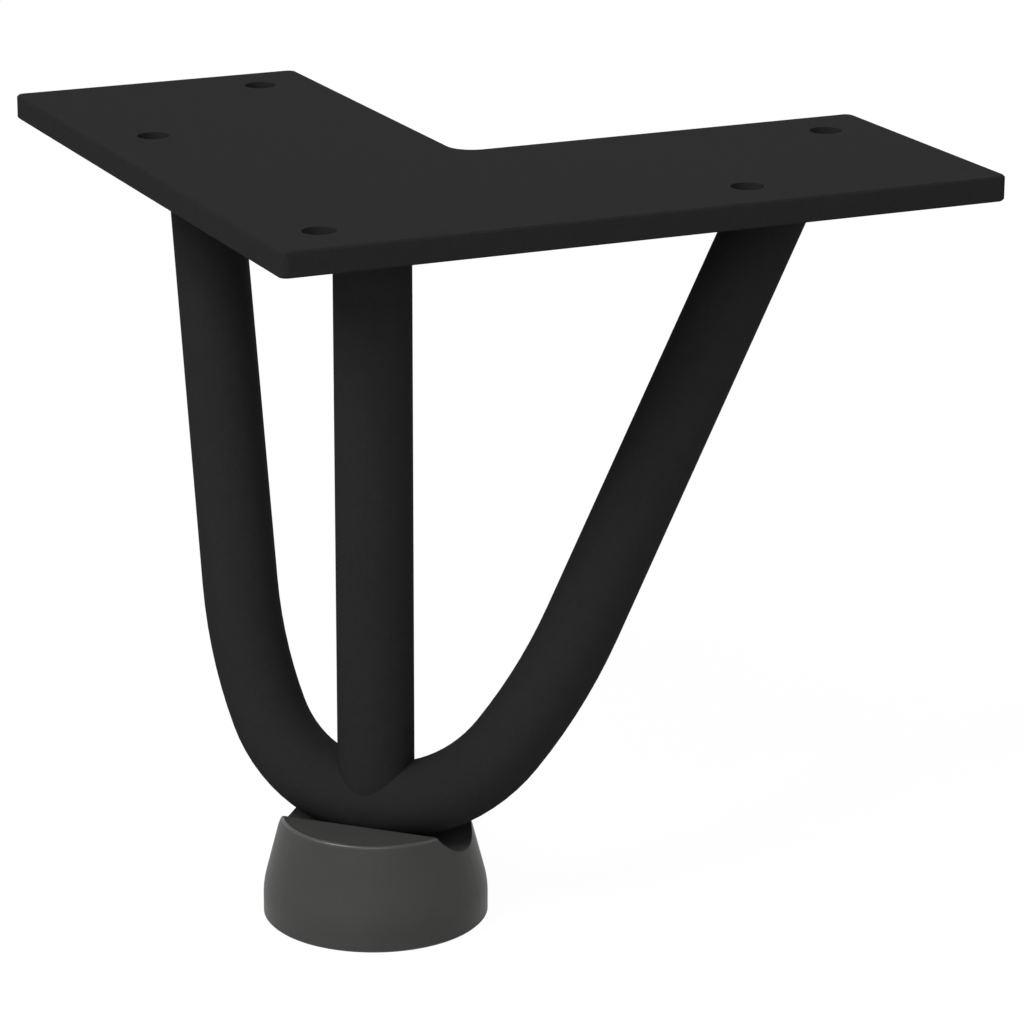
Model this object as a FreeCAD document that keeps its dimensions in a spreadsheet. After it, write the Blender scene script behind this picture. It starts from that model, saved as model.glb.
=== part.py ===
import FreeCAD, Part
import math
import os
import Sketcher

# Hairpin table leg: an L-shaped plate, a bar bent into a U that hangs from the
# two arms, an upright post from the plate's corner to the bend, and a moulded
# foot under the bend.  Millimetres and degrees.
# Frame: the origin is on the plate's top face, on the upright axis of bend and
# foot.  +Z is up, towards the table top, and the arms of the L run along +X and +Y.

SIZES = [
    # plate
    ("arm_length", 120.0),          # outer corner to the end of either arm
    ("arm_width", 50.0),            # across either arm
    ("plate_thickness", 4.0),
    ("corner_round", 1.5),          # the five outer corners
    ("inner_round", 4.0),           # the inner corner
    ("edge_bevel", 0.3),            # softened outline, top and bottom
    ("screw_hole_dia", 5.2),
    ("hole_margin", 10.0),          # hole centres to the edges beside them
    ("hole_pitch", 30.0),           # between the two holes of an arm, along it
    # bent bar and post
    ("axis_inset", 24.0),           # axis of bend and foot, from both outer edges
    ("bar_dia", 12.0),
    ("bend_radius", 23.5),          # centreline radius at the bottom of the U
    ("bend_half_angle", 58.4),      # turn of that radius on each side
    ("side_radius", 80.8),          # larger centreline radius above it
    ("splay_angle", 15.9),          # straight legs against the U's middle line
    ("lean_angle", 27.5),           # plane of the U against the vertical
    ("post_setback", 0.5),          # post axis behind the bend's, along the L's diagonal
    ("post_cope_depth", 0.6),       # post end above the bend's centreline
    # foot
    ("overall_height", 114.0),      # plate top to floor
    ("foot_base_dia", 35.2),
    ("foot_rim_dia", 29.2),
    ("foot_height", 16.4),
    ("bend_above_rim", 2.1),        # bend's centreline above the foot's rim
    ("foot_band_height", 3.0),      # upright band above the floor
    ("foot_shoulder_radius", 14.0),  # blend from the band to the taper
    ("foot_sole_bevel", 0.3),
    ("foot_rim_round", 0.5),
    ("channel_dia", 14.2),          # straight channel across the foot
    ("channel_offset", 0.5),        # its axis in front of the bar, towards the corner
    ("channel_lift", 0.1),          # channel floor above the bar's underside
]
# sizes that follow from those above
FORMULAS = [
    # plate top to the bend's centreline
    ("bend_depth", "=overall_height - foot_height - bend_above_rim"),
    # screw holes, from the outer corner
    ("end_hole_along", "=arm_length - hole_margin"),
    ("near_hole_along", "=arm_length - hole_margin - hole_pitch"),
    ("end_hole_across", "=arm_width - hole_margin"),
    # channel axis above the floor
    ("channel_axis_height",
     "=foot_height + bend_above_rim - bar_dia / 2 + channel_lift + channel_dia / 2"),
]

doc = FreeCAD.newDocument("hairpin_table_leg")
sheet = doc.addObject("Spreadsheet::Sheet", "sizes")
for row, (alias, value) in enumerate(SIZES + FORMULAS, start=1):
    sheet.set("A%d" % row, alias)
    sheet.set("B%d" % row, str(value))
    sheet.setAlias("B%d" % row, alias)
doc.recompute()
S = {alias: float(sheet.get(alias)) for alias, _ in SIZES + FORMULAS}


def origin_plane(body, role):
    """Origin plane of a body, by its role."""
    for feature in body.Origin.OriginFeatures:
        if feature.Role == role:
            return feature
    raise ValueError("no plane %s in %s" % (role, body.Label))


def new_body(name):
    body = doc.addObject("PartDesign::Body", name)
    body.Label = name
    return body


def new_sketch(body, name, role):
    sketch = body.newObject("Sketcher::SketchObject", name)
    sketch.AttachmentSupport = [(origin_plane(body, role), "")]
    sketch.MapMode = "FlatFace"
    return sketch


def dimension(sketch, name, expression, *constraint):
    """Add a dimensional constraint and bind it to the sheet."""
    index = sketch.addConstraint(Sketcher.Constraint(*constraint))
    sketch.renameConstraint(index, name)
    sketch.setExpression("Constraints." + name, expression)


def constrain(sketch, *constraint):
    sketch.addConstraint(Sketcher.Constraint(*constraint))


def vec(x, y, z=0.0):
    return FreeCAD.Vector(x, y, z)


# Top plate
plate = new_body("top_plate")

near = -S["axis_inset"]
far = S["arm_length"] - S["axis_inset"]
step = S["arm_width"] - S["axis_inset"]
outline = new_sketch(plate, "plate_outline", "XY_Plane")
corners = [
    (near, near), (far, near), (far, step),
    (step, step), (step, far), (near, far),
]
for i in range(6):
    start = vec(*corners[i])
    end = vec(*corners[(i + 1) % 6])
    outline.addGeometry(Part.LineSegment(start, end))
for i in range(6):
    constrain(outline, "Coincident", i, 2, (i + 1) % 6, 1)
for i in range(6):
    constrain(outline, "Horizontal" if i % 2 == 0 else "Vertical", i)
dimension(outline, "near_x", "sizes.axis_inset", "DistanceX", 0, 1, -1, 1, -near)
dimension(outline, "near_y", "sizes.axis_inset", "DistanceY", 0, 1, -1, 1, -near)
dimension(outline, "length_x", "sizes.arm_length", "DistanceX", 0, 1, 0, 2, S["arm_length"])
dimension(outline, "length_y", "sizes.arm_length", "DistanceY", 5, 2, 5, 1, S["arm_length"])
dimension(outline, "width_y", "sizes.arm_width", "DistanceY", 1, 1, 1, 2, S["arm_width"])
dimension(outline, "width_x", "sizes.arm_width", "DistanceX", 4, 2, 4, 1, S["arm_width"])

slab = plate.newObject("PartDesign::Pad", "plate_slab")
slab.Profile = outline
slab.Reversed = True
slab.setExpression("Length", "sizes.plate_thickness")
doc.recompute()


def upright_edges(shape, places):
    """Names of the vertical edges that stand over the given points."""
    names = []
    for number, edge in enumerate(shape.Edges, start=1):
        a = edge.Vertexes[0].Point
        b = edge.Vertexes[-1].Point
        if abs(a.x - b.x) > 1e-6 or abs(a.y - b.y) > 1e-6:
            continue
        for x, y in places:
            if abs(a.x - x) < 1e-4 and abs(a.y - y) < 1e-4:
                names.append("Edge%d" % number)
    return names


outer = plate.newObject("PartDesign::Fillet", "outer_corners")
outer.Base = (slab, upright_edges(slab.Shape, corners[:3] + corners[4:]))
outer.setExpression("Radius", "sizes.corner_round")
doc.recompute()

inner = plate.newObject("PartDesign::Fillet", "inner_corner")
inner.Base = (outer, upright_edges(outer.Shape, corners[3:4]))
inner.setExpression("Radius", "sizes.inner_round")
doc.recompute()

rim_names = []
for number, edge in enumerate(inner.Shape.Edges, start=1):
    box = edge.BoundBox
    if box.ZLength < 1e-6:
        rim_names.append("Edge%d" % number)
rim = plate.newObject("PartDesign::Chamfer", "soft_outline")
rim.Base = (inner, rim_names)
rim.setExpression("Size", "sizes.edge_bevel")
doc.recompute()

holes = new_sketch(plate, "screw_holes", "XY_Plane")
hole_places = [
    ("corner", "hole_margin", "hole_margin"),
    ("near_right", "near_hole_along", "hole_margin"),
    ("end_right", "end_hole_along", "end_hole_across"),
    ("near_left", "hole_margin", "near_hole_along"),
    ("end_left", "end_hole_across", "end_hole_along"),
]
for i, (name, along_x, along_y) in enumerate(hole_places):
    x = S[along_x] + near
    y = S[along_y] + near
    holes.addGeometry(Part.Circle(vec(x, y), vec(0, 0, 1), S["screw_hole_dia"] / 2))
    dimension(holes, name + "_dia", "sizes.screw_hole_dia", "Diameter", i, S["screw_hole_dia"])
    # distances run from the smaller to the larger coordinate, so they stay positive
    for axis, alias, value in (("X", along_x, x), ("Y", along_y, y)):
        label = "%s_%s" % (name, axis.lower())
        if value < 0:
            formula = "sizes.axis_inset - sizes.%s" % alias
            dimension(holes, label, formula, "Distance" + axis, i, 3, -1, 1, -value)
        else:
            formula = "sizes.%s - sizes.axis_inset" % alias
            dimension(holes, label, formula, "Distance" + axis, -1, 1, i, 3, value)
drilled = plate.newObject("PartDesign::Pocket", "drilled")
drilled.Profile = holes
drilled.Type = "ThroughAll"
doc.recompute()
plate.Tip = drilled

# Hairpin bar.
# Half of the U is swept from the lowest point of the bend up one leg, and then
# mirrored.  The body's X axis runs along the U, square to the L's diagonal.
hairpin = new_body("hairpin_bar")
turn = FreeCAD.Rotation(vec(0, 0, -1), 45.0)
hairpin.Placement = FreeCAD.Placement(vec(0, 0, -S["bend_depth"]), turn)
hairpin.setExpression("Placement.Base.z", "-sizes.bend_depth")

section = new_sketch(hairpin, "bar_section", "YZ_Plane")
section.addGeometry(Part.Circle(vec(0, 0), vec(0, 0, 1), S["bar_dia"] / 2))
constrain(section, "Coincident", 0, 3, -1, 1)
dimension(section, "bar_dia", "sizes.bar_dia", "Diameter", 0, S["bar_dia"])

path = new_sketch(hairpin, "leg_path", "XZ_Plane")
path.AttachmentOffset = FreeCAD.Placement(
    vec(0, 0), FreeCAD.Rotation(vec(-1, 0, 0), S["lean_angle"]))
path.setExpression("AttachmentOffset.Rotation.Angle", "sizes.lean_angle")
low = math.radians(S["bend_half_angle"])
high = math.radians(90.0 - S["splay_angle"])
r_low = S["bend_radius"]
r_side = S["side_radius"]
p_one = (r_low * math.sin(low), r_low * (1 - math.cos(low)))
side_centre = (p_one[0] - r_side * math.sin(low), p_one[1] + r_side * math.cos(low))
p_two = (side_centre[0] + r_side * math.sin(high), side_centre[1] - r_side * math.cos(high))
path_top = (S["bend_depth"] - S["plate_thickness"] + S["bar_dia"]) / math.cos(
    math.radians(S["lean_angle"]))
p_top = (p_two[0] + (path_top - p_two[1]) * math.tan(math.pi / 2 - high), path_top)
quarter = math.pi / 2
path.addGeometry(Part.ArcOfCircle(
    Part.Circle(vec(0, r_low), vec(0, 0, 1), r_low), -quarter, low - quarter))
path.addGeometry(Part.ArcOfCircle(
    Part.Circle(vec(*side_centre), vec(0, 0, 1), r_side), low - quarter, high - quarter))
path.addGeometry(Part.LineSegment(vec(*p_two), vec(*p_top)))
constrain(path, "Coincident", 0, 1, -1, 1)
constrain(path, "PointOnObject", 0, 3, -2)
constrain(path, "Tangent", 0, 2, 1, 1)
constrain(path, "Tangent", 1, 2, 2, 1)
dimension(path, "bend_radius", "sizes.bend_radius", "Radius", 0, r_low)
dimension(path, "side_radius", "sizes.side_radius", "Radius", 1, r_side)
dimension(path, "bend_end", "sizes.bend_radius * sin(sizes.bend_half_angle)",
          "DistanceX", -1, 1, 0, 2, p_one[0])
dimension(path, "side_end",
          "sizes.bend_radius * sin(sizes.bend_half_angle) + sizes.side_radius"
          " * (cos(sizes.splay_angle) - sin(sizes.bend_half_angle))",
          "DistanceX", -1, 1, 1, 2, p_two[0])
dimension(path, "leg_rise",
          "(sizes.bend_depth - sizes.plate_thickness + sizes.bar_dia)"
          " / cos(sizes.lean_angle)",
          "DistanceY", -1, 1, 2, 2, path_top)
doc.recompute()

leg = hairpin.newObject("PartDesign::AdditivePipe", "one_leg")
leg.Profile = section
leg.Spine = (path, ["Edge1", "Edge2", "Edge3"])
doc.recompute()
both = hairpin.newObject("PartDesign::Mirrored", "both_legs")
both.Originals = [leg]
both.MirrorPlane = (origin_plane(hairpin, "YZ_Plane"), [""])
hairpin.Tip = both
doc.recompute()

# room below the plate: the bar is trimmed flush with the plate's underside
trim = doc.addObject("Part::Box", "above_underside")
trim.setExpression("Length", "2 * sizes.arm_length")
trim.setExpression("Width", "2 * sizes.arm_length")
trim.setExpression("Height", "4 * sizes.bar_dia")
trim.setExpression("Placement.Base.x", "-sizes.arm_length / 2")
trim.setExpression("Placement.Base.y", "-sizes.arm_length / 2")
trim.setExpression("Placement.Base.z", "-sizes.plate_thickness")
hairpin_rod = doc.addObject("Part::Cut", "hairpin_rod")
hairpin_rod.Label = "hairpin_rod"
hairpin_rod.Base = hairpin
hairpin_rod.Tool = trim
doc.recompute()

# Upright post, a little behind the bend's axis and coped over the bend
post = doc.addObject("Part::Cylinder", "post_blank")
post.setExpression("Placement.Base.x", "sizes.post_setback * cos(45)")
post.setExpression("Placement.Base.y", "sizes.post_setback * sin(45)")
post.setExpression("Radius", "sizes.bar_dia / 2")
post.setExpression("Height", "sizes.bend_depth - sizes.plate_thickness - sizes.post_cope_depth")
post.setExpression("Placement.Base.z", "sizes.post_cope_depth - sizes.bend_depth")
centre_rod = doc.addObject("Part::Cut", "centre_rod")
centre_rod.Label = "centre_rod"
centre_rod.Base = post
centre_rod.Tool = hairpin_rod
doc.recompute()

# Foot, turned about the bend's upright axis, with a straight channel along the U
foot = new_body("foot_blank")
foot.Placement = FreeCAD.Placement(vec(0, 0, -S["overall_height"]), turn)
foot.setExpression("Placement.Base.z", "-sizes.overall_height")

r_base = S["foot_base_dia"] / 2
r_rim = S["foot_rim_dia"] / 2
r_shoulder = S["foot_shoulder_radius"]
band = S["foot_band_height"]
top = S["foot_height"]
# tangent from the rim to the shoulder arc, whose centre is level with the band's top
shoulder_x = r_base - r_shoulder
gap_x = r_rim - shoulder_x
gap_z = top - band
reach = math.hypot(gap_x, gap_z)
swing = math.atan2(gap_z, gap_x) - math.acos(r_shoulder / reach)
touch = (shoulder_x + r_shoulder * math.cos(swing), band + r_shoulder * math.sin(swing))
half = new_sketch(foot, "foot_profile", "XZ_Plane")
half.addGeometry(Part.LineSegment(vec(0, 0), vec(r_base, 0)))
half.addGeometry(Part.LineSegment(vec(r_base, 0), vec(r_base, band)))
half.addGeometry(Part.ArcOfCircle(
    Part.Circle(vec(shoulder_x, band), vec(0, 0, 1), r_shoulder), 0, swing))
half.addGeometry(Part.LineSegment(vec(*touch), vec(r_rim, top)))
half.addGeometry(Part.LineSegment(vec(r_rim, top), vec(0, top)))
half.addGeometry(Part.LineSegment(vec(0, top), vec(0, 0)))
constrain(half, "Coincident", 0, 1, -1, 1)
constrain(half, "Coincident", 0, 2, 1, 1)
constrain(half, "Tangent", 1, 2, 2, 1)
constrain(half, "Tangent", 2, 2, 3, 1)
constrain(half, "Coincident", 3, 2, 4, 1)
constrain(half, "Coincident", 4, 2, 5, 1)
constrain(half, "Coincident", 5, 2, 0, 1)
constrain(half, "Horizontal", 0)
constrain(half, "Vertical", 1)
constrain(half, "Horizontal", 4)
constrain(half, "Vertical", 5)
dimension(half, "base_radius", "sizes.foot_base_dia / 2", "DistanceX", 0, 1, 0, 2, r_base)
dimension(half, "band_height", "sizes.foot_band_height", "DistanceY", 1, 1, 1, 2, band)
dimension(half, "shoulder_radius", "sizes.foot_shoulder_radius", "Radius", 2, r_shoulder)
dimension(half, "rim_radius", "sizes.foot_rim_dia / 2", "DistanceX", 4, 2, 4, 1, r_rim)
dimension(half, "foot_height", "sizes.foot_height", "DistanceY", 5, 2, 5, 1, top)

turned = foot.newObject("PartDesign::Revolution", "foot_turned")
turned.Profile = half
turned.ReferenceAxis = (half, ["V_Axis"])
turned.Angle = 360.0
doc.recompute()


def ring_edges(shape, height):
    """Names of the full circles at one height."""
    names = []
    for number, edge in enumerate(shape.Edges, start=1):
        box = edge.BoundBox
        if box.ZLength < 1e-6 and abs(box.ZMin - height) < 1e-6 and box.XLength > 1.0:
            names.append("Edge%d" % number)
    return names


sole = foot.newObject("PartDesign::Chamfer", "sole_bevel")
sole.Base = (turned, ring_edges(turned.Shape, 0.0))
sole.setExpression("Size", "sizes.foot_sole_bevel")
doc.recompute()

channel = new_sketch(foot, "channel_section", "YZ_Plane")
channel_y = -S["channel_offset"]
channel_z = S["channel_axis_height"]
channel.addGeometry(Part.Circle(vec(channel_y, channel_z), vec(0, 0, 1), S["channel_dia"] / 2))
dimension(channel, "channel_offset", "sizes.channel_offset",
          "DistanceX", 0, 3, -1, 1, S["channel_offset"])
dimension(channel, "channel_dia", "sizes.channel_dia", "Diameter", 0, S["channel_dia"])
dimension(channel, "channel_height", "sizes.channel_axis_height",
          "DistanceY", -1, 1, 0, 3, channel_z)
cut = foot.newObject("PartDesign::Pocket", "channel")
cut.Profile = channel
cut.Type = "ThroughAll"
cut.Midplane = True
doc.recompute()

rim_edges = []
for number, edge in enumerate(cut.Shape.Edges, start=1):
    box = edge.BoundBox
    level = abs(box.ZMin - top) < 1e-6 and box.ZLength < 1e-6
    if level and "Circle" in edge.Curve.TypeId:
        rim_edges.append("Edge%d" % number)
lip = foot.newObject("PartDesign::Fillet", "rim_round")
lip.Base = (cut, rim_edges)
lip.setExpression("Radius", "sizes.foot_rim_round")
doc.recompute()
foot.Tip = lip

# the bar beds into the channel, and the seat takes its shape
foot_cap = doc.addObject("Part::Cut", "foot_cap")
foot_cap.Label = "foot_cap"
foot_cap.Base = foot
foot_cap.Tool = hairpin_rod
doc.recompute()

# Checks
for item in doc.Objects:
    if "Invalid" in item.State or "Error" in item.State:
        raise RuntimeError("%s: %s" % (item.Label, item.State))
nodes = [plate, hairpin_rod, centre_rod, foot_cap]
for node in nodes:
    shape = node.Shape
    if shape.isNull() or not shape.isValid() or len(shape.Solids) != 1:
        raise RuntimeError("%s is not one valid solid" % node.Label)
    box = shape.BoundBox
    print("%-12s volume %10.1f  x %.2f..%.2f  y %.2f..%.2f  z %.2f..%.2f" % (
        node.Label, shape.Volume, box.XMin, box.XMax, box.YMin, box.YMax, box.ZMin, box.ZMax))

os.makedirs("parts", exist_ok=True)
for node in nodes:
    node.Shape.exportStep("parts/%s.step" % node.Label)
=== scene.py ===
"""Short hairpin table leg: powder-coated plate, bent bar and post, and a moulded foot."""

import logging
import math
from dataclasses import dataclass
from enum import Enum

import bpy
from mathutils import Matrix, Vector


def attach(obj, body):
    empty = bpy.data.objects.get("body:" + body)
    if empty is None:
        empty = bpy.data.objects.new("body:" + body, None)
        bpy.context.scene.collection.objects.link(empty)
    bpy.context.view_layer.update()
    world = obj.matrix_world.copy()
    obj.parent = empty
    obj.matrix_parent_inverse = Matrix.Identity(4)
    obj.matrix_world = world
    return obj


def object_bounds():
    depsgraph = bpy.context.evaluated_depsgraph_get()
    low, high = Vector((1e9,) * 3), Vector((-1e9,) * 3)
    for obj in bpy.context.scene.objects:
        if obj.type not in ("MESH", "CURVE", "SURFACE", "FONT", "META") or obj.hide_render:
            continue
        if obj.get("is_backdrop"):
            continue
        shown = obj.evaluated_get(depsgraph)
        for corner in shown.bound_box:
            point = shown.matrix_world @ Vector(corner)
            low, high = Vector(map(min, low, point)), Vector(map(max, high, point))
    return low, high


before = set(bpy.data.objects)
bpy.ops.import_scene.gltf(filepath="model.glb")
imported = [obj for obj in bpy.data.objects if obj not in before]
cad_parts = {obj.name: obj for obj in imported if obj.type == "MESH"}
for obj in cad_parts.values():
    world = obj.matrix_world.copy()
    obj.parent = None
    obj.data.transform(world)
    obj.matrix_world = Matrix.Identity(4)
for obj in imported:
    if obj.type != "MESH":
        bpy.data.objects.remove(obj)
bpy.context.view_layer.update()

LOG = logging.getLogger("hairpin_leg")
BODY = "root"
MM = 0.001
WHITE = (1.0, 1.0, 1.0, 1.0)

Socket = bpy.types.NodeSocket
Triple = tuple[float, float, float]


class Node(Enum):
    """Solids of the frame."""

    PLATE = "top_plate"
    HAIRPIN = "hairpin_rod"
    POST = "centre_rod"
    FOOT = "foot_cap"


class Maths(Enum):
    """Operations of the Math node that the finishes use."""

    ADD = "ADD"
    SUBTRACT = "SUBTRACT"
    MULTIPLY = "MULTIPLY"
    MAXIMUM = "MAXIMUM"
    MINIMUM = "MINIMUM"


@dataclass(frozen=True)
class Signal:
    """One number in a node tree, with arithmetic that adds Math nodes."""

    net: "NodeNet"
    socket: Socket

    def _maths(self, operation: Maths, first: object, second: object) -> "Signal":
        """Add one Math node.

        Args:
            operation: what the node works out.
            first: its first value or signal.
            second: its second value or signal.

        Returns:
            The node's result.
        """
        settings = {"operation": operation.value}
        return self.net.signal(self.net.add("ShaderNodeMath", settings, {0: first, 1: second}))

    def __add__(self, other: object) -> "Signal":
        """self + other."""
        return self._maths(Maths.ADD, self, other)

    def __radd__(self, other: object) -> "Signal":
        """other + self."""
        return self._maths(Maths.ADD, other, self)

    def __sub__(self, other: object) -> "Signal":
        """self - other."""
        return self._maths(Maths.SUBTRACT, self, other)

    def __rsub__(self, other: object) -> "Signal":
        """other - self."""
        return self._maths(Maths.SUBTRACT, other, self)

    def __mul__(self, other: object) -> "Signal":
        """self * other."""
        return self._maths(Maths.MULTIPLY, self, other)

    def __rmul__(self, other: object) -> "Signal":
        """other * self."""
        return self._maths(Maths.MULTIPLY, other, self)

    def at_least(self, other: object) -> "Signal":
        """The larger of self and other."""
        return self._maths(Maths.MAXIMUM, self, other)

    def at_most(self, other: object) -> "Signal":
        """The smaller of self and other."""
        return self._maths(Maths.MINIMUM, self, other)


@dataclass(frozen=True)
class Grain:
    """Size in metres, octaves and roughness of one noise."""

    size: float
    octaves: float
    roughness: float


class NodeNet:
    """Builds one node tree."""

    def __init__(self, tree: bpy.types.NodeTree) -> None:
        """Start with an empty tree."""
        self.tree = tree
        tree.nodes.clear()

    def add(
        self, kind: str, settings: dict | None = None, values: dict | None = None,
    ) -> bpy.types.Node:
        """Add a node.

        Args:
            kind: the node's type.
            settings: its own settings, which are set first.
            values: values, sockets or signals for its inputs, by name or number.

        Returns:
            The node.
        """
        node = self.tree.nodes.new(kind)
        for name, value in (settings or {}).items():
            setattr(node, name, value)
        for name, value in (values or {}).items():
            target = node.inputs[name]
            if isinstance(value, Signal):
                value = value.socket
            if isinstance(value, Socket):
                self.tree.links.new(value, target)
            else:
                target.default_value = value
        return node

    def signal(self, node: bpy.types.Node, output: str | int = 0) -> Signal:
        """One output of a node as a signal."""
        return Signal(self, node.outputs[output])

    def place(self) -> Socket:
        """Object coordinates, in metres."""
        return self.add("ShaderNodeTexCoord").outputs["Object"]

    def noise(self, place: Socket, grain: Grain) -> Signal:
        """Noise that fills space.

        Args:
            place: coordinates to read it at.
            grain: what the noise is made of.

        Returns:
            The noise, from 0 to 1.
        """
        values = {
            "Vector": place,
            "Scale": 1.0 / grain.size,
            "Detail": grain.octaves,
            "Roughness": grain.roughness,
        }
        node = self.add("ShaderNodeTexNoise", {"noise_dimensions": "3D"}, values)
        return self.signal(node, "Fac")

    def blend(self, mask: Signal, first: Triple | Socket, second: Triple | Socket) -> Socket:
        """Mix two colours.

        Args:
            mask: 0 for the first colour and 1 for the second.
            first: a colour or a colour socket.
            second: a colour or a colour socket.

        Returns:
            The mixed colour.
        """
        ends = [end if isinstance(end, Socket) else (*end, 1.0) for end in (first, second)]
        values = {0: mask, 6: ends[0], 7: ends[1]}  # the Mix node's factor and its two colours
        return self.add("ShaderNodeMix", {"data_type": "RGBA"}, values).outputs[2]

    def bump(
        self, height: Signal, depth: float, strength: float, under: Socket | None = None,
    ) -> Socket:
        """Bumps from a height signal.

        Args:
            height: the signal, where 1 is one depth high.
            depth: height of the bumps in metres.
            strength: share of the bump that shows.
            under: a normal that these bumps lie on.

        Returns:
            The bent normal.
        """
        values = {"Height": height, "Distance": depth, "Strength": strength}
        if under is not None:
            values["Normal"] = under
        return self.add("ShaderNodeBump", None, values).outputs["Normal"]

    def mix(
        self, mask: Signal | Socket, first: bpy.types.Node, second: bpy.types.Node,
    ) -> bpy.types.Node:
        """Mix two shaders, where the mask is 0 for the first and 1 for the second."""
        values = {0: mask, 1: first.outputs[0], 2: second.outputs[0]}
        return self.add("ShaderNodeMixShader", None, values)

    def show(self, shader: bpy.types.Node, output: str = "ShaderNodeOutputMaterial") -> None:
        """Send a shader to the tree's output."""
        self.add(output, None, {"Surface": shader.outputs[0]})


def blank_material(name: str) -> tuple[bpy.types.Material, NodeNet]:
    """Start a material with no nodes.

    Args:
        name: the material's name.

    Returns:
        The material and the net that builds its nodes.
    """
    material = bpy.data.materials.new(name)
    material.use_nodes = True
    return material, NodeNet(material.node_tree)


@dataclass(frozen=True)
class PowderCoat:
    """Matte black powder coat with a fine, even texture."""

    name: str = "powder_coat"
    tone: Triple = (0.0180, 0.0180, 0.0184)
    pale_tone: Triple = (0.0212, 0.0212, 0.0216)
    grain: Grain = Grain(0.42 * MM, 1.5, 0.45)
    peel: Grain = Grain(2.6 * MM, 1.0, 0.4)
    cloud: Grain = Grain(24.0 * MM, 2.0, 0.5)
    mottle_shares: Triple = (0.45, 0.25, 0.30)
    mottle_level: float = 0.35
    mottle_contrast: float = 3.0
    grain_depth: float = 0.020 * MM
    grain_strength: float = 0.8
    peel_depth: float = 0.030 * MM
    peel_strength: float = 0.5
    roughness: float = 0.78
    grain_roughness: float = 0.10
    cloud_roughness: float = 0.08
    specular: float = 0.0045

    def material(self) -> bpy.types.Material:
        """Build the finish.

        Returns:
            A material that reads object coordinates.
        """
        material, net = blank_material(self.name)
        place = net.place()
        grain = net.noise(place, self.grain)
        peel = net.noise(place, self.peel)
        cloud = net.noise(place, self.cloud)
        of_grain, of_peel, of_cloud = self.mottle_shares
        mottle = grain * of_grain + peel * of_peel + cloud * of_cloud - self.mottle_level
        rough = grain * self.grain_roughness + cloud * self.cloud_roughness
        evened = self.roughness - (self.grain_roughness + self.cloud_roughness) / 2
        fine = net.bump(grain, self.grain_depth, self.grain_strength)
        net.show(net.add("ShaderNodeBsdfPrincipled", None, {
            "Base Color": net.blend(mottle * self.mottle_contrast, self.tone, self.pale_tone),
            "Roughness": rough + evened,
            "Normal": net.bump(peel, self.peel_depth, self.peel_strength, fine),
            "Specular IOR Level": self.specular,
        }))
        return material


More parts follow.
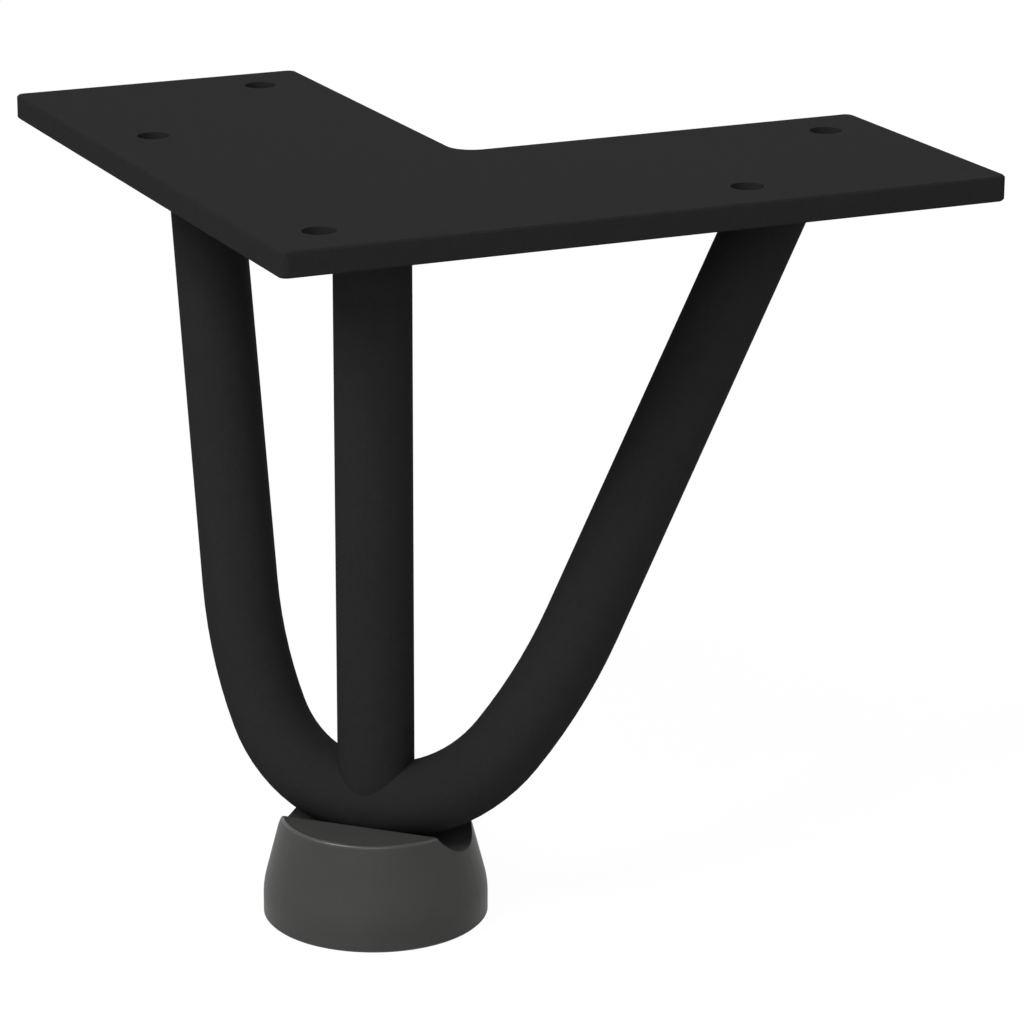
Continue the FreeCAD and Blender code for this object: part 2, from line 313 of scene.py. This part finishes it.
@dataclass(frozen=True)
class MouldedFoot:
    """Grey moulded plastic with a soft satin surface, and painted shade that darkens the
    channel's wall under the bar.
    """

    name: str = "moulded_foot"
    tone: Triple = (0.0432, 0.0432, 0.0410)
    pale_tone: Triple = (0.0507, 0.0507, 0.0482)
    # painted shade: the dark tone that is painted on the channel's wall under the bar
    channel_shade_tone: Triple = (0.0185, 0.0185, 0.0179)
    grain: Grain = Grain(0.30 * MM, 1.0, 0.4)
    flow: Grain = Grain(9.0 * MM, 2.0, 0.5)
    mottle_shares: tuple[float, float] = (0.4, 0.6)
    mottle_level: float = 0.3
    mottle_contrast: float = 2.5
    grain_depth: float = 0.008 * MM
    grain_strength: float = 0.6
    roughness: float = 0.47
    grain_roughness: float = 0.10
    flow_roughness: float = 0.08
    specular: float = 0.10
    # where the painted shade lies: the channel's axis, and the radii over which the shade fades
    # out
    channel_height: float = -94.3 * MM
    channel_offset: float = -0.5 * MM
    wall_radius: float = 7.13 * MM
    shade_edge_radius: float = 7.35 * MM
    rim_height: float = -98.1 * MM
    rim_circle: float = 14.1 * MM
    rim_round: float = 0.53 * MM
    rim_reach: float = 0.64 * MM
    gloss_roughness: float = 0.21

    def material(self) -> bpy.types.Material:
        """Build the finish.

        Returns:
            A material that reads object coordinates.
        """
        material, net = blank_material(self.name)
        place = net.place()
        grain = net.noise(place, self.grain)
        flow = net.noise(place, self.flow)
        of_grain, of_flow = self.mottle_shares
        mottle = grain * of_grain + flow * of_flow - self.mottle_level
        unshaded = net.blend(mottle * self.mottle_contrast, self.tone, self.pale_tone)
        rough = grain * self.grain_roughness + flow * self.flow_roughness
        evened = self.roughness - (self.grain_roughness + self.flow_roughness) / 2
        axes = net.add("ShaderNodeSeparateXYZ", None, {0: place})
        net.show(net.add("ShaderNodeBsdfPrincipled", None, {
            # painted shade: the channel's wall is darkened in the base colour, and not by the
            # lamps
            "Base Color": net.blend(self._painted_channel_shade(net, axes), unshaded, self.channel_shade_tone),
            "Roughness": rough + evened,
            "Normal": net.bump(grain, self.grain_depth, self.grain_strength),
            "Specular IOR Level": self.specular,
            "Coat Weight": self._rim(net, axes),
            "Coat Roughness": self.gloss_roughness,
        }))
        return material

    @staticmethod
    def _within(across: Signal, above: Signal, full: float, none: float) -> Signal:
        """Mask of what lies near a line in the part.

        Args:
            across: distance to the line, sideways.
            above: distance to the line, upwards.
            full: distance up to which the mask is 1.
            none: distance from which the mask is 0.

        Returns:
            The mask.
        """
        outside = across * across + above * above - none ** 2
        return (outside * (1.0 / (full ** 2 - none ** 2))).at_least(0.0).at_most(1.0)

    def _painted_channel_shade(self, net: NodeNet, axes: bpy.types.Node) -> Signal:
        """Mask of the channel's wall, where the shade under the bar is painted into the colour.

        Args:
            net: the finish's node tree.
            axes: object coordinates, one by one.

        Returns:
            1 on the wall, and 0 from a little way outside it.
        """
        along_diagonal = (net.signal(axes, "X") + net.signal(axes, "Y")) * math.sqrt(0.5)
        across = along_diagonal - self.channel_offset
        above = net.signal(axes, "Z") - self.channel_height
        return self._within(across, above, self.wall_radius, self.shade_edge_radius)

    def _rim(self, net: NodeNet, axes: bpy.types.Node) -> Signal:
        """Mask of the rim's small round, which the mould leaves smoother.

        Args:
            net: the finish's node tree.
            axes: object coordinates, one by one.

        Returns:
            1 on the round, and 0 from a little way outside it.
        """
        flat = net.add(
            "ShaderNodeCombineXYZ", None, {"X": axes.outputs["X"], "Y": axes.outputs["Y"]})
        reach = net.add("ShaderNodeVectorMath", {"operation": "LENGTH"}, {0: flat.outputs[0]})
        across = net.signal(reach, "Value") - self.rim_circle
        above = net.signal(axes, "Z") - self.rim_height
        return self._within(across, above, self.rim_round, self.rim_reach)


def dress(thing: bpy.types.Object, material: bpy.types.Material) -> None:
    """Put one material on all of an object, through its material slots.

    Args:
        thing: the object.
        material: what it is to be made of.
    """
    if not thing.material_slots:
        thing.data.materials.append(material)
    for slot in thing.material_slots:
        slot.material = material


def deselect() -> None:
    """Leave nothing selected and no object in edit mode."""
    if bpy.context.object and bpy.context.object.mode != "OBJECT":
        bpy.ops.object.mode_set(mode="OBJECT")
    bpy.ops.object.select_all(action="DESELECT")


@dataclass(frozen=True)
class Plate:
    """The L-shaped plate with its five screw holes."""

    coat: bpy.types.Material

    def build(self) -> None:
        """Dress the plate."""
        dress(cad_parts[Node.PLATE.value], self.coat)
        LOG.info("plate dressed")


@dataclass(frozen=True)
class Rim:
    """Where a bar ends on the plate's underside: an ellipse."""

    centre: Vector
    long_radius: float
    short_radius: float
    turn: float


@dataclass(frozen=True)
class WeldBead:
    """A run of weld round one bar, under the plate."""

    name: str
    rim: Rim
    leg: float = 1.15 * MM
    stand_off: float = 0.35
    ripples: int = 30
    steps_per_ripple: int = 4
    sections: int = 12
    ripple_rise: float = 0.09 * MM
    ripple_shares: Triple = (1.0, 0.62, 0.22)

    def build(self, coat: bpy.types.Material) -> None:
        """Model the bead from a ring and dress it.

        Args:
            coat: the finish that runs over it.
        """
        deselect()
        offset = self.stand_off * self.leg
        bpy.ops.mesh.primitive_torus_add(
            major_segments=self.ripples * self.steps_per_ripple,
            minor_segments=self.sections,
            major_radius=self.rim.short_radius + offset,
            minor_radius=self.leg,
            location=(0.0, 0.0, 0.0),
        )
        bead = bpy.context.object
        bead.name = self.name
        bead.data.name = self.name
        self._ripple(bead)
        stretch = (self.rim.long_radius + offset) / (self.rim.short_radius + offset)
        bead.data.transform(
            Matrix.Translation(self.rim.centre - Vector((0.0, 0.0, offset)))
            @ Matrix.Rotation(self.rim.turn, 4, "Z")
            @ Matrix.Diagonal((stretch, 1.0, 1.0, 1.0))
        )
        bpy.ops.object.shade_smooth()
        dress(bead, coat)
        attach(bead, BODY)
        LOG.info("%s: %d faces", bead.name, len(bead.data.polygons))

    def _ripple(self, bead: bpy.types.Object) -> None:
        """Raise every step of the weld pool a little over the one before.

        Args:
            bead: the plain ring, still round and in object mode.
        """
        bpy.ops.object.mode_set(mode="EDIT")
        bpy.ops.mesh.select_all(action="DESELECT")
        bpy.ops.object.mode_set(mode="OBJECT")
        steps = self.ripples * self.steps_per_ripple
        for phase, share in enumerate(self.ripple_shares):
            for vertex in bead.data.vertices:
                angle = math.atan2(vertex.co.y, vertex.co.x) % math.tau
                station = round(angle / math.tau * steps) % steps
                vertex.select = station % self.steps_per_ripple == phase
            bpy.ops.object.mode_set(mode="EDIT")
            bpy.ops.transform.shrink_fatten(value=self.ripple_rise * share)
            bpy.ops.mesh.select_all(action="DESELECT")
            bpy.ops.object.mode_set(mode="OBJECT")


@dataclass(frozen=True)
class Bars:
    """The bar bent into a U, the upright post, and their welds to the plate."""

    coat: bpy.types.Material
    level_tolerance: float = 0.02 * MM
    least_radius: float = 2.0 * MM

    def build(self) -> None:
        """Dress both bars and weld their three ends to the plate."""
        for node in (Node.HAIRPIN, Node.POST):
            dress(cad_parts[node.value], self.coat)
        LOG.info("bars dressed")
        for name, node, side in (
            ("weld_right_leg", Node.HAIRPIN, 1.0),
            ("weld_left_leg", Node.HAIRPIN, -1.0),
            ("weld_post", Node.POST, 0.0),
        ):
            WeldBead(name, self._rim(node, side)).build(self.coat)

    def _rim(self, node: Node, side: float) -> Rim:
        """Find where a bar ends under the plate.

        Args:
            node: the solid that holds the bar.
            side: 1 for the end nearer to +X, -1 for the end nearer to +Y, 0 for a single end.

        Returns:
            The ellipse of that end.
        """
        places = [vertex.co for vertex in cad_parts[node.value].data.vertices]
        level = max(co.z for co in places)
        ring = [
            co for co in places
            if level - co.z < self.level_tolerance and side * (co.x - co.y) >= 0.0
        ]
        low = Vector((min(co.x for co in ring), min(co.y for co in ring), level))
        high = Vector((max(co.x for co in ring), max(co.y for co in ring), level))
        centre = (low + high) / 2
        arms = [(co - centre).to_2d() for co in ring]
        longest = max(arms, key=lambda arm: arm.length)
        shortest = min(arm.length for arm in arms if arm.length > self.least_radius)
        return Rim(centre, longest.length, shortest, math.atan2(longest.y, longest.x))


@dataclass(frozen=True)
class Foot:
    """The moulded foot under the bend."""

    plastic: bpy.types.Material

    def build(self) -> None:
        """Dress the foot."""
        dress(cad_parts[Node.FOOT.value], self.plastic)
        LOG.info("foot dressed")


@dataclass(frozen=True)
class Lamp:
    """One soft square lamp that faces the leg."""

    name: str
    towards: Triple
    distance: float
    size: float
    power: float

    def build(self, aim: Vector) -> None:
        """Hang the lamp.

        Args:
            aim: the point that it faces.
        """
        data = bpy.data.lights.new(self.name, "AREA")
        data.shape = "SQUARE"
        data.size = self.size
        data.energy = self.power
        lamp = bpy.data.objects.new(self.name, data)
        bpy.context.scene.collection.objects.link(lamp)
        direction = Vector(self.towards).normalized()
        lamp.location = aim + direction * self.distance
        lamp.rotation_euler = direction.to_track_quat("Z", "Y").to_euler()


@dataclass(frozen=True)
class Studio:
    """Pale floor, white surroundings, soft lamps and the camera."""

    floor_size: float = 6.0
    floor_cells: int = 8
    floor_tone: Triple = (0.68, 0.68, 0.68)
    floor_white: float = 0.92
    floor_glow: float = 1.045
    ambient: float = 0.30
    azimuth: float = -24.7407
    elevation: float = 17.5414
    roll: float = 0.1782
    distance: float = 0.473784
    target: Triple = (-0.044952, -0.148260, 0.0)
    focal_pixels: float = 4158.526
    picture_pixels: float = 1024.0
    sensor: float = 36.0
    near_clip: float = 0.01
    lamps: tuple[Lamp, ...] = (
        Lamp("key_lamp", (-0.68, -0.14, 0.72), distance=1.2, size=0.6, power=10.4),
        Lamp("fill_lamp", (0.82, -0.52, 0.23), distance=1.5, size=1.4, power=4.0),
        Lamp("front_lamp", (-0.40, -0.80, 0.44), distance=1.5, size=1.0, power=6.3),
        Lamp("back_lamp", (0.62, 0.74, 0.14), distance=1.5, size=1.4, power=11.0),
    )

    def build(self) -> None:
        """Build the floor, the light and the camera."""
        low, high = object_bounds()
        self._floor(low.z)
        self._world()
        for lamp in self.lamps:
            lamp.build(Vector((0.0, 0.0, (low.z + high.z) / 2)))
        self._camera()
        bpy.context.scene.view_settings.view_transform = "Standard"
        LOG.info("studio built")

    @staticmethod
    def _seen_directly(net: NodeNet) -> Signal:
        """Mask of the rays by which a surface is seen and not lit by.

        Args:
            net: the node tree that uses it.

        Returns:
            1 for rays from the camera, from a mirror or through glass, else 0.
        """
        path = net.add("ShaderNodeLightPath")
        seen = net.signal(path, "Is Camera Ray").at_least(net.signal(path, "Is Glossy Ray"))
        return seen.at_least(net.signal(path, "Is Transmission Ray"))

    def _floor(self, level: float) -> None:
        """Lay the floor, which can't be seen from below.

        Args:
            level: its height in metres.
        """
        deselect()
        bpy.ops.mesh.primitive_grid_add(
            x_subdivisions=self.floor_cells, y_subdivisions=self.floor_cells,
            size=self.floor_size, location=(0.0, 0.0, level),
        )
        floor = bpy.context.object
        floor.name = "studio_floor"
        material, net = blank_material("studio_white")
        matte = net.add("ShaderNodeBsdfDiffuse", None, {"Color": (*self.floor_tone, 1.0)})
        glow = {"Color": WHITE, "Strength": self.floor_glow}
        white = net.add("ShaderNodeEmission", None, glow)
        lit = net.mix(self._seen_directly(net) * self.floor_white, matte, white)
        clear = net.add("ShaderNodeBsdfTransparent")
        from_below = net.add("ShaderNodeNewGeometry").outputs["Backfacing"]
        net.show(net.mix(from_below, lit, clear))
        dress(floor, material)
        floor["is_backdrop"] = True

    def _world(self) -> None:
        """Even white surroundings, dimmer where they light the leg than where they are seen."""
        world = bpy.data.worlds.new("studio_world")
        bpy.context.scene.world = world
        world.use_nodes = True
        net = NodeNet(world.node_tree)
        strength = self._seen_directly(net) * (1.0 - self.ambient) + self.ambient
        glow = net.add("ShaderNodeBackground", None, {"Color": WHITE, "Strength": strength})
        net.show(glow, "ShaderNodeOutputWorld")

    def _camera(self) -> None:
        """Set the camera at the photograph's angle."""
        azimuth = math.radians(self.azimuth)
        elevation = math.radians(self.elevation)
        roll = math.radians(self.roll)
        back = Vector((
            math.sin(azimuth) * math.cos(elevation),
            -math.cos(azimuth) * math.cos(elevation),
            math.sin(elevation),
        ))
        right = Vector((math.cos(azimuth), math.sin(azimuth), 0.0))
        up = back.cross(right)
        side = right * math.cos(roll) + up * math.sin(roll)
        head = up * math.cos(roll) - right * math.sin(roll)
        data = bpy.data.cameras.new("photo_camera")
        data.sensor_width = self.sensor
        data.lens = self.focal_pixels / self.picture_pixels * self.sensor
        data.clip_start = self.near_clip
        camera = bpy.data.objects.new("photo_camera", data)
        bpy.context.scene.collection.objects.link(camera)
        place = Vector(self.target) + back * self.distance
        turn = Matrix((side, head, back)).transposed().to_4x4()
        camera.matrix_world = Matrix.Translation(place) @ turn
        bpy.context.scene.camera = camera


def main() -> None:
    """Build the leg's pieces in order, then the studio."""
    logging.basicConfig(level=logging.INFO, format="%(name)s: %(message)s")
    coat = PowderCoat().material()
    Plate(coat).build()
    Bars(coat).build()
    Foot(MouldedFoot().material()).build()
    Studio().build()


if __name__ == "__main__":
    main()
